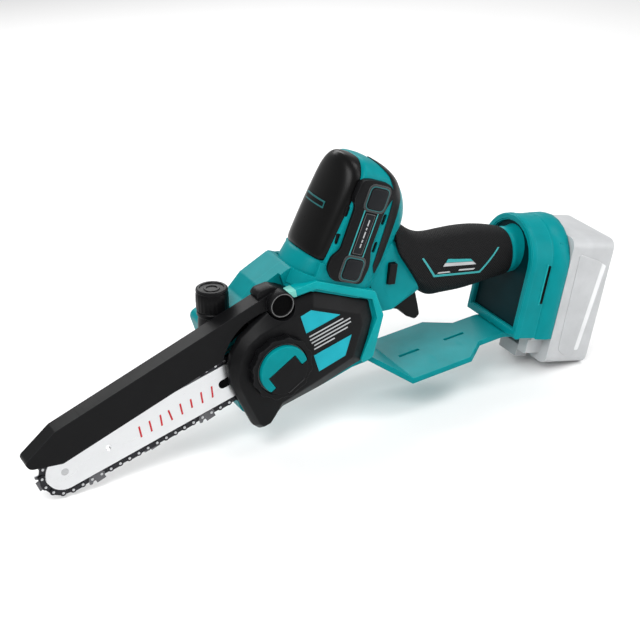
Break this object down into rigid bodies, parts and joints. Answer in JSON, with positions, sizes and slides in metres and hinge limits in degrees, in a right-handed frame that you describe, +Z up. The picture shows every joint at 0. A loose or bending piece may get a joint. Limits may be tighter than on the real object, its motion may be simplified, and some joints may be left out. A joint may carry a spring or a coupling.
{
  "type": "cordless pruning chainsaw",
  "caption": "One-handed cordless pruning chainsaw: short guide bar with chain, hinged upper guard, dial-tensioned side cover, leaning motor housing and slide-on battery.",
  "frame": {"origin": "centre of the bounding box on the plane that the chain nose and the battery's lower corner rest on", "axes": "+X from the chain nose to the battery, +Y from the side cover to the far side, +Z up in the resting attitude"},
  "size_m": [0.538, 0.086, 0.2293],
  "materials": {
    "bar_steel": "satin ground steel",
    "chain_steel": "dark oiled chain steel",
    "bright_steel": "bright plated steel",
    "teal_plastic": "satin moulded teal plastic",
    "black_plastic": "fine textured black plastic",
    "smoke_plastic": "semi gloss black plastic",
    "pad_plastic": "dark grey plastic",
    "badge_cyan": "cyan film",
    "grip_rubber": "fine hatched soft rubber",
    "seal_rubber": "moulded seal rubber",
    "tank_plastic": "natural translucent plastic",
    "gear_metal": "die cast aluminium",
    "motor_steel": "laminated steel",
    "motor_copper": "copper windings",
    "board_green": "coated circuit board",
    "battery_plastic": "pale grey translucent plastic",
    "button_grey": "grey plastic",
    "cell_steel": "nickel plated can",
    "contact_brass": "plated brass"
  },
  "bodies": {
    "saw_body": {"chain_drive_links": "chain_steel", "chain_tie_straps": "chain_steel", "chain_cutters": "bright_steel", "chain_rivets": "bright_steel", "side_cover": "black_plastic", "cover_badges": "badge_cyan", "clamp_stud": "bright_steel", "guard_pin": "bright_steel", "guard_spring": "bright_steel", "housing_left": "teal_plastic", "housing_right": "teal_plastic", "motor_cover": "smoke_plastic", "side_inlay": "black_plastic", "inlay_pads": "pad_plastic", "rear_trim": "smoke_plastic", "housing_screws": "bright_steel", "oil_tank": "tank_plastic", "oil_pump": "gear_metal", "bar_plate": "bright_steel", "gear_housing": "gear_metal", "spindle_bearings": "bright_steel", "motor_stator": "motor_copper", "motor_bearings": "bright_steel", "controller": "board_green", "grip_sleeve": "grip_rubber", "grip_accents": "teal_plastic", "trigger_pin": "bright_steel", "trigger_spring": "bright_steel", "trigger_switch": "black_plastic", "lock_spring": "bright_steel", "hand_guard": "teal_plastic", "hand_guard_screws": "bright_steel", "battery_mount": "teal_plastic", "terminal_block": "black_plastic"},
    "bar": {"guide_bar": "bar_steel", "nose_rivet": "bright_steel", "tension_pin": "bright_steel"},
    "nose_wheel": {"nose_sprocket": "chain_steel"},
    "drive": {"spindle": "bright_steel", "drive_sprocket": "chain_steel", "bevel_gear": "chain_steel"},
    "motor_rotor_set": {"motor_rotor": "motor_steel", "motor_shaft": "bright_steel", "cooling_fan": "black_plastic", "bevel_pinion": "chain_steel"},
    "knob": {"clamp_knob": "black_plastic", "knob_bow": "teal_plastic", "flap_pin": "bright_steel"},
    "flap": {"knob_flap": "black_plastic"},
    "tension_dial": {"tension_ring": "black_plastic"},
    "guard": {"upper_guard": "black_plastic"},
    "trigger_lever": {"trigger": "black_plastic"},
    "lock_slide": {"lock_button": "black_plastic"},
    "cap_carrier": {"cap_seal": "seal_rubber"},
    "cap": {"oil_cap": "black_plastic"},
    "battery": {"battery_case": "battery_plastic", "battery_cells": "cell_steel", "battery_contacts": "contact_brass"},
    "battery_latch": {"battery_button": "button_grey"}
  },
  "joints": [
    {"name": "guard_hinge", "type": "hinge", "parent": "saw_body", "child": "guard", "pos_m": [-0.05383, -0.0151, 0.12655], "axis": [0, 1, 0], "range_deg": [0, 55], "stiffness_Nm_per_rad": 0.08, "springref_deg": -20.05},
    {"name": "bar_tension", "type": "slide", "parent": "saw_body", "child": "bar", "axis": [0.9584, 0, 0.2855], "range_m": [0, 0.006]},
    {"name": "tension_dial_turn", "type": "hinge", "parent": "saw_body", "child": "tension_dial", "pos_m": [-0.05986, -0.0351, 0.07675], "axis": [0, 1, 0], "range_deg": [0, 270]},
    {"name": "knob_turn", "type": "hinge", "parent": "saw_body", "child": "knob", "pos_m": [-0.05986, -0.0351, 0.07675], "axis": [0, 1, 0], "range_deg": [-360, 0]},
    {"name": "flap_fold", "type": "hinge", "parent": "knob", "child": "flap", "pos_m": [-0.05017, -0.0406, 0.06159], "axis": [0.8426, 0, 0.5386], "range_deg": [0, 90]},
    {"name": "sprocket_spin", "type": "hinge", "parent": "saw_body", "child": "drive", "pos_m": [-0.01578, -0.0151, 0.08989], "axis": [0, 1, 0], "continuous": true},
    {"name": "motor_spin", "type": "hinge", "parent": "saw_body", "child": "motor_rotor_set", "pos_m": [-0.01578, 0.0039, 0.08989], "axis": [0.3813, 0, 0.9245], "continuous": true},
    {"name": "nose_wheel_spin", "type": "hinge", "parent": "bar", "child": "nose_wheel", "pos_m": [-0.23716, -0.0151, 0.02394], "axis": [0, 1, 0], "continuous": true},
    {"name": "trigger_pull", "type": "hinge", "parent": "saw_body", "child": "trigger_lever", "pos_m": [0.05608, 0.0039, 0.10086], "axis": [0, -1, 0], "range_deg": [0, 11], "stiffness_Nm_per_rad": 0.6, "springref_deg": -14.32, "deforming": ["trigger_spring"]},
    {"name": "lock_press", "type": "slide", "parent": "saw_body", "child": "lock_slide", "axis": [0, 1, 0], "range_m": [0, 0.003], "stiffness_N_per_m": 400, "springref_m": -0.002, "deforming": ["lock_spring"]},
    {"name": "cap_lift", "type": "slide", "parent": "saw_body", "child": "cap_carrier", "axis": [0, 0, 1], "range_m": [0, 0.03]},
    {"name": "cap_turn", "type": "hinge", "parent": "cap_carrier", "child": "cap", "pos_m": [-0.09714, 0.0079, 0.11782], "axis": [0, 0, 1], "range_deg": [0, 120]},
    {"name": "battery_slide", "type": "slide", "parent": "saw_body", "child": "battery", "axis": [-0.22, 0, -0.9755], "range_m": [0, 0.09]},
    {"name": "battery_button_press", "type": "slide", "parent": "battery", "child": "battery_latch", "axis": [0.22, 0, 0.9755], "range_m": [0, 0.004], "stiffness_N_per_m": 500, "springref_m": -0.002}
  ],
  "couplings": [
    {"joint": "motor_spin", "follows": "sprocket_spin", "ratio": -4},
    {"joint": "nose_wheel_spin", "follows": "sprocket_spin", "ratio": 1},
    {"joint": "tension_dial_turn", "follows": "bar_tension", "rad_per_m": 785.4}
  ]
}
